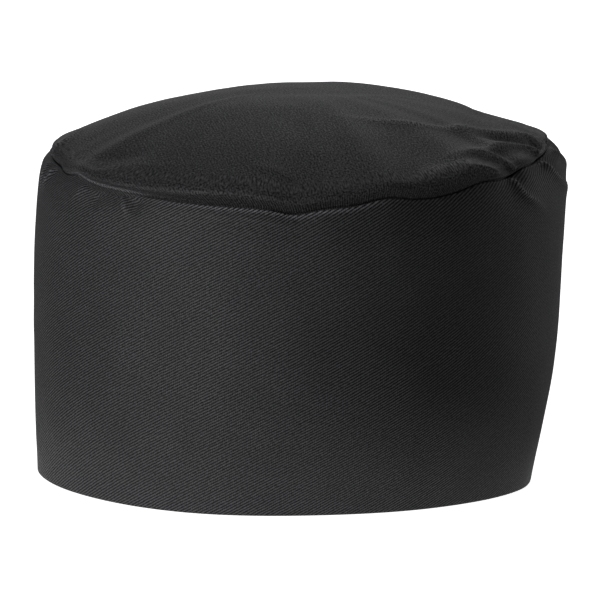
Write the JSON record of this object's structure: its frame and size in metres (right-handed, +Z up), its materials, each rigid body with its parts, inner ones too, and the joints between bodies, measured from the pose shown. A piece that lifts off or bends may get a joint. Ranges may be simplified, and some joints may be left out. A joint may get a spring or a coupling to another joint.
{
  "type": "chef's skull cap",
  "caption": "Round pillbox skull cap in black cotton twill: a deep side band drawn in at the back of its hem, sewn to a softly domed crown, worn to cover the hair in a kitchen.",
  "frame": {"origin": "middle of the box that the cap stands in, on the plane of its hem", "axes": "+Z up from the hem to the crown, -Y towards the front, +X towards the wearer's left"},
  "size_m": [0.1945, 0.197, 0.1433],
  "materials": {
    "twill": "matt black cotton and polyester twill, a fine diagonal rib about 0.95 mm apart, slight sheen at grazing angles"
  },
  "bodies": {
    "root": {"side_band": "twill", "crown_top": "twill"}
  },
  "joints": []
}
